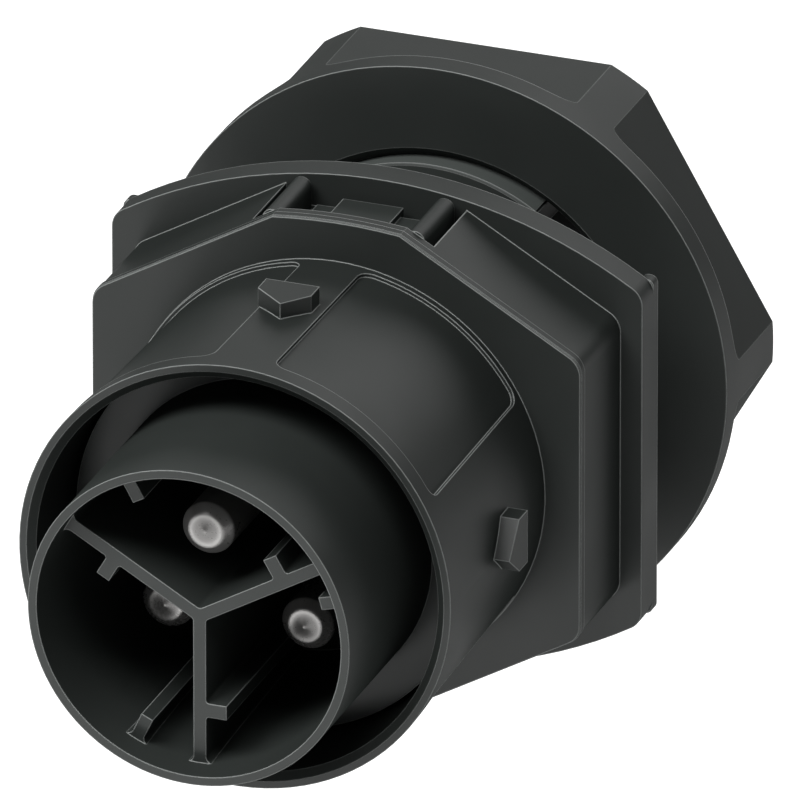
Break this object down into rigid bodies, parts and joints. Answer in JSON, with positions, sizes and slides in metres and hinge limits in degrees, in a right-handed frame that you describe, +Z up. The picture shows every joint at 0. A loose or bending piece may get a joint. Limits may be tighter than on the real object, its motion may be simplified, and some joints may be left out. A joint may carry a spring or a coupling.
{
  "type": "panel installation connector",
  "caption": "Round power connector for panel mounting: shroud with locking lugs, pins in a divided tube, hexagonal body, flange, threaded barrel and lock nut.",
  "frame": {"origin": "on the connector's axis, in the plane where the flange seats on the panel", "axes": "-Y towards the mating plug, +Y towards the wires behind the panel, +Z up with the earth pin on top"},
  "size_m": [0.037, 0.0552, 0.037],
  "materials": {
    "dark_housing": "moulded, fine satin",
    "dark_carrier": "moulded, fine satin",
    "dark_nut": "moulded, fine satin",
    "grey_insert": "moulded",
    "seal_rubber": "soft matte",
    "contact_metal": "plated, polished nose",
    "copper_bar": "stamped, tinned edges",
    "spring_steel": "rolled strip",
    "screw_steel": "plated",
    "button_plastic": "moulded"
  },
  "bodies": {
    "connector": {"housing": "dark_housing", "contact_carrier": "dark_carrier", "carrier_seal": "seal_rubber", "terminal_block": "grey_insert", "terminal_cover": "grey_insert", "cover_screw": "screw_steel", "flange_gasket": "seal_rubber", "earth_pin": "contact_metal", "earth_current_bar": "copper_bar", "earth_clamp_spring": "spring_steel", "phase_pin": "contact_metal", "phase_current_bar": "copper_bar", "phase_clamp_spring": "spring_steel", "neutral_pin": "contact_metal", "neutral_current_bar": "copper_bar", "neutral_clamp_spring": "spring_steel"},
    "nut": {"lock_nut": "dark_nut"},
    "earth_button": {"earth_release_button": "button_plastic"},
    "phase_button": {"phase_release_button": "button_plastic"},
    "neutral_button": {"neutral_release_button": "button_plastic"}
  },
  "joints": [
    {"name": "nut_turn", "type": "hinge", "parent": "connector", "child": "nut", "pos_m": [0, 0.012, 0], "axis": [0, 1, 0], "continuous": true},
    {"name": "earth_button_press", "type": "slide", "parent": "connector", "child": "earth_button", "axis": [0, -1, 0], "range_m": [0, 0.0012], "stiffness_N_per_m": 400},
    {"name": "phase_button_press", "type": "slide", "parent": "connector", "child": "phase_button", "axis": [0, -1, 0], "range_m": [0, 0.0012], "stiffness_N_per_m": 400},
    {"name": "neutral_button_press", "type": "slide", "parent": "connector", "child": "neutral_button", "axis": [0, -1, 0], "range_m": [0, 0.0012], "stiffness_N_per_m": 400}
  ]
}
